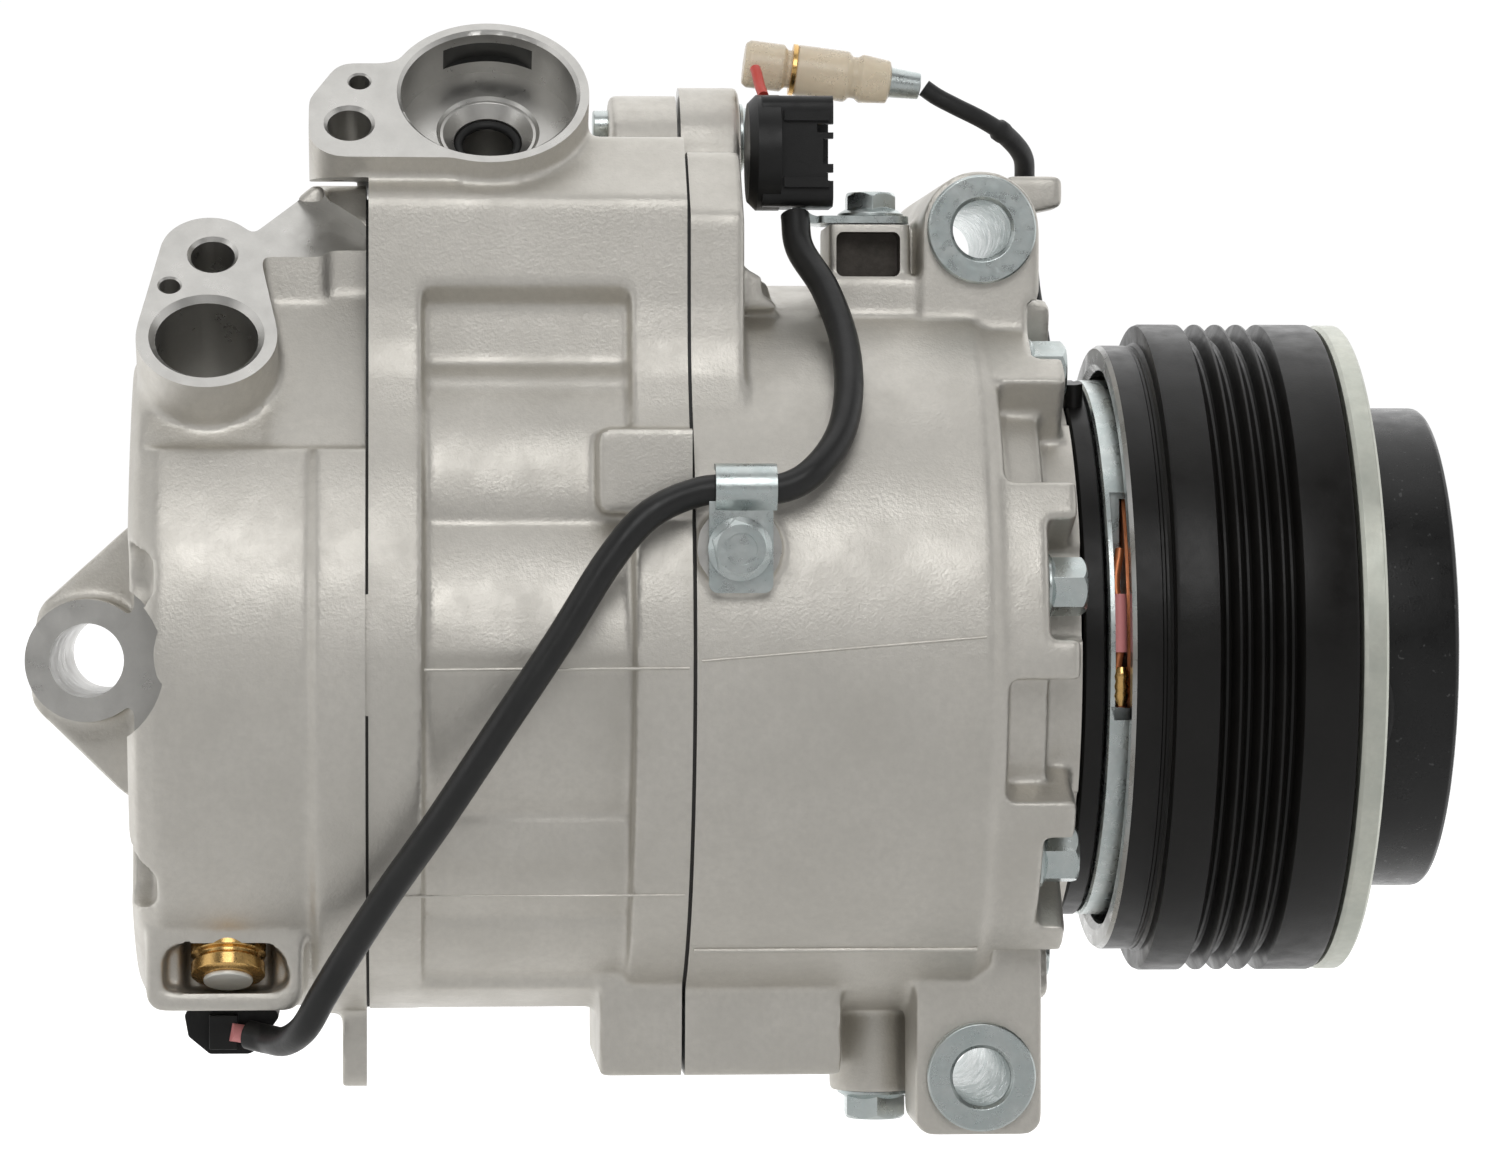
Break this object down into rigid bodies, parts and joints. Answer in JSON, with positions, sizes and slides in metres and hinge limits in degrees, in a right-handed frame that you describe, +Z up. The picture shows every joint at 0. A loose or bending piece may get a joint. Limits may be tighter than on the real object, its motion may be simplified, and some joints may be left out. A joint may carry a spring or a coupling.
{
  "type": "air-conditioning compressor with electromagnetic clutch",
  "caption": "Car air-conditioning compressor with an electromagnetic clutch: ribbed pulley, coil and armature on the nose of a swash-plate pump held by three lugs.",
  "frame": {"origin": "on the shaft axis, in the plane of the two front lugs' bolts", "axes": "+X along the shaft towards the clutch, +Z up past the suction port, -Y towards the side with the ports and leads"},
  "size_m": [0.2348, 0.1288, 0.184],
  "materials": {
    "front_housing": "as-cast, machined on faces",
    "cylinder_block": "as-cast, machined on faces",
    "rear_head": "as-cast, machined on faces",
    "front_gasket": "matte",
    "rear_gasket": "matte",
    "suction_reed": "bare or zinc-plated steel",
    "valve_plate": "bare or zinc-plated steel",
    "discharge_reed": "bare or zinc-plated steel",
    "piston_1": "as-cast, machined on faces",
    "piston_2": "as-cast, machined on faces",
    "piston_3": "as-cast, machined on faces",
    "piston_4": "as-cast, machined on faces",
    "piston_5": "as-cast, machined on faces",
    "piston_6": "as-cast, machined on faces",
    "piston_7": "as-cast, machined on faces",
    "front_shaft_bearing": "bare or zinc-plated steel",
    "rear_shaft_bearing": "bare or zinc-plated steel",
    "thrust_bearing": "bare or zinc-plated steel",
    "shaft_seal": "matte",
    "through_bolt_1": "bare or zinc-plated steel",
    "through_bolt_2": "bare or zinc-plated steel",
    "through_bolt_3": "bare or zinc-plated steel",
    "through_bolt_4": "bare or zinc-plated steel",
    "through_bolt_5": "bare or zinc-plated steel",
    "through_bolt_6": "bare or zinc-plated steel",
    "through_bolt_7": "bare or zinc-plated steel",
    "front_upper_bushing": "bare or zinc-plated steel",
    "front_lower_bushing": "bare or zinc-plated steel",
    "oil_plug": "bare or zinc-plated steel",
    "control_valve_body": "bright",
    "control_valve_fitting": "bright",
    "valve_connector": "moulded",
    "valve_lead": "matte",
    "coil_lead": "matte",
    "cable_clip": "bare or zinc-plated steel",
    "clip_screw": "bare or zinc-plated steel",
    "harness_connector": "moulded",
    "connector_bracket": "bare or zinc-plated steel",
    "bracket_bolt": "bare or zinc-plated steel",
    "connector_wire": "insulated wire",
    "bullet_sleeve": "translucent cream",
    "coil_mount_plate": "satin black",
    "coil_yoke": "bare or zinc-plated steel",
    "coil_winding": "enamelled copper wire",
    "coil_snap_ring": "bare or zinc-plated steel",
    "bearing_inner_ring": "bare or zinc-plated steel",
    "pulley_snap_ring": "bare or zinc-plated steel",
    "drive_shaft": "bare or zinc-plated steel",
    "lug_plate": "bare or zinc-plated steel",
    "swash_plate": "bare or zinc-plated steel",
    "destroke_spring": "bare or zinc-plated steel",
    "hub_boss": "bare or zinc-plated steel",
    "hub_bolt": "bare or zinc-plated steel",
    "damper_rubber": "matte",
    "damper_cup": "satin black",
    "return_spring": "bare or zinc-plated steel",
    "pulley": "satin black",
    "bearing_outer_ring": "bare or zinc-plated steel",
    "bearing_cage": "bare or zinc-plated steel",
    "armature_plate": "bare or zinc-plated steel"
  },
  "bodies": {
    "casing": {"front_housing": "front_housing", "cylinder_block": "cylinder_block", "rear_head": "rear_head", "front_gasket": "front_gasket", "rear_gasket": "rear_gasket", "suction_reed": "suction_reed", "valve_plate": "valve_plate", "discharge_reed": "discharge_reed", "piston_1": "piston_1", "piston_2": "piston_2", "piston_3": "piston_3", "piston_4": "piston_4", "piston_5": "piston_5", "piston_6": "piston_6", "piston_7": "piston_7", "front_shaft_bearing": "front_shaft_bearing", "rear_shaft_bearing": "rear_shaft_bearing", "thrust_bearing": "thrust_bearing", "shaft_seal": "shaft_seal", "through_bolt_1": "through_bolt_1", "through_bolt_2": "through_bolt_2", "through_bolt_3": "through_bolt_3", "through_bolt_4": "through_bolt_4", "through_bolt_5": "through_bolt_5", "through_bolt_6": "through_bolt_6", "through_bolt_7": "through_bolt_7", "front_upper_bushing": "front_upper_bushing", "front_lower_bushing": "front_lower_bushing", "oil_plug": "oil_plug", "control_valve_body": "control_valve_body", "control_valve_fitting": "control_valve_fitting", "valve_connector": "valve_connector", "valve_lead": "valve_lead", "coil_lead": "coil_lead", "cable_clip": "cable_clip", "clip_screw": "clip_screw", "harness_connector": "harness_connector", "connector_bracket": "connector_bracket", "bracket_bolt": "bracket_bolt", "connector_wire": "connector_wire", "bullet_sleeve": "bullet_sleeve", "coil_mount_plate": "coil_mount_plate", "coil_yoke": "coil_yoke", "coil_winding": "coil_winding", "coil_snap_ring": "coil_snap_ring", "bearing_inner_ring": "bearing_inner_ring", "pulley_snap_ring": "pulley_snap_ring"},
    "shaft": {"drive_shaft": "drive_shaft", "lug_plate": "lug_plate", "swash_plate": "swash_plate", "destroke_spring": "destroke_spring", "hub_boss": "hub_boss", "hub_bolt": "hub_bolt", "damper_rubber": "damper_rubber", "damper_cup": "damper_cup", "return_spring": "return_spring"},
    "armature": {"armature_plate": "armature_plate"},
    "pulley_body": {"pulley": "pulley", "bearing_outer_ring": "bearing_outer_ring"},
    "bearing_balls": {"bearing_cage": "bearing_cage"}
  },
  "joints": [
    {"name": "pulley_spin", "type": "hinge", "parent": "casing", "child": "pulley_body", "pos_m": [0.043, 0, 0], "axis": [1, 0, 0], "continuous": true},
    {"name": "bearing_balls_spin", "type": "hinge", "parent": "casing", "child": "bearing_balls", "pos_m": [0.043, 0, 0], "axis": [1, 0, 0], "continuous": true},
    {"name": "shaft_spin", "type": "hinge", "parent": "casing", "child": "shaft", "pos_m": [0, 0, 0], "axis": [1, 0, 0], "continuous": true},
    {"name": "armature_slide", "type": "slide", "parent": "shaft", "child": "armature", "axis": [1, 0, 0], "range_m": [-0.0005, 0], "stiffness_N_per_m": 20000}
  ],
  "couplings": [
    {"joint": "bearing_balls_spin", "follows": "pulley_spin", "ratio": 0.544}
  ]
}
